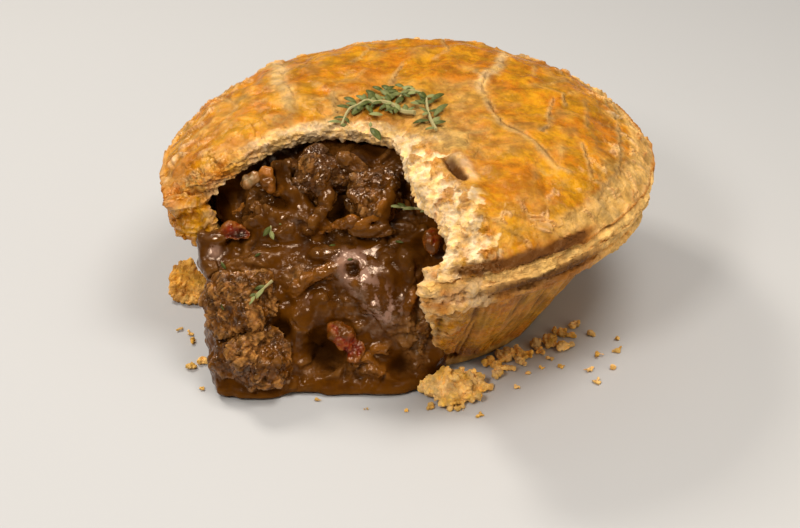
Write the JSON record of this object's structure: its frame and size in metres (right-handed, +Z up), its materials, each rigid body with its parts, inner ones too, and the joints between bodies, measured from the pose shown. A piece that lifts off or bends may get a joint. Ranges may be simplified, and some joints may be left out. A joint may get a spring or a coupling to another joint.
{
  "type": "steak and ale pie",
  "caption": "Round baked meat pie with a domed golden crust, broken open at one side so that the dark stew spills out, with thyme on top.",
  "frame": {"origin": "centre of the pastry case's flat base, on the surface that the pie stands on", "axes": "+Z up through the lid, -Y out of the broken side, +X to the right as seen from that side"},
  "size_m": [0.1253, 0.1251, 0.059],
  "materials": {
    "baked_lid": "golden brown glazed shortcrust, blistered and flaky",
    "baked_case": "pale golden baked shortcrust, dry and fluted",
    "ale_gravy": "thick dark brown glossy gravy",
    "braised_beef": "dark brown fibrous braised beef, wet",
    "red_pepper": "wet cooked red pepper",
    "cooked_carrot": "soft cooked carrot stained by gravy",
    "cooked_onion": "translucent cooked onion",
    "thyme_green": "dull grey-green herb",
    "crumb": "dry crust crumbs"
  },
  "bodies": {
    "root": {"pastry_lid": "baked_lid", "pastry_case": "baked_case", "filling": "ale_gravy", "beef_front": "braised_beef", "beef_left": "braised_beef", "beef_right": "braised_beef", "beef_upper_left": "braised_beef", "beef_upper_right": "braised_beef", "pepper_front": "red_pepper", "pepper_left": "red_pepper", "pepper_right": "red_pepper", "carrot_strip": "cooked_carrot", "carrot_slice": "cooked_carrot", "carrot_edge": "cooked_carrot", "onion_piece": "cooked_onion", "onion_strand": "cooked_carrot", "crumb_clump": "crumb", "thyme_sprig": "thyme_green", "thyme_front": "thyme_green", "thyme_left": "thyme_green", "thyme_right": "thyme_green", "thyme_leaf": "thyme_green"}
  },
  "joints": []
}
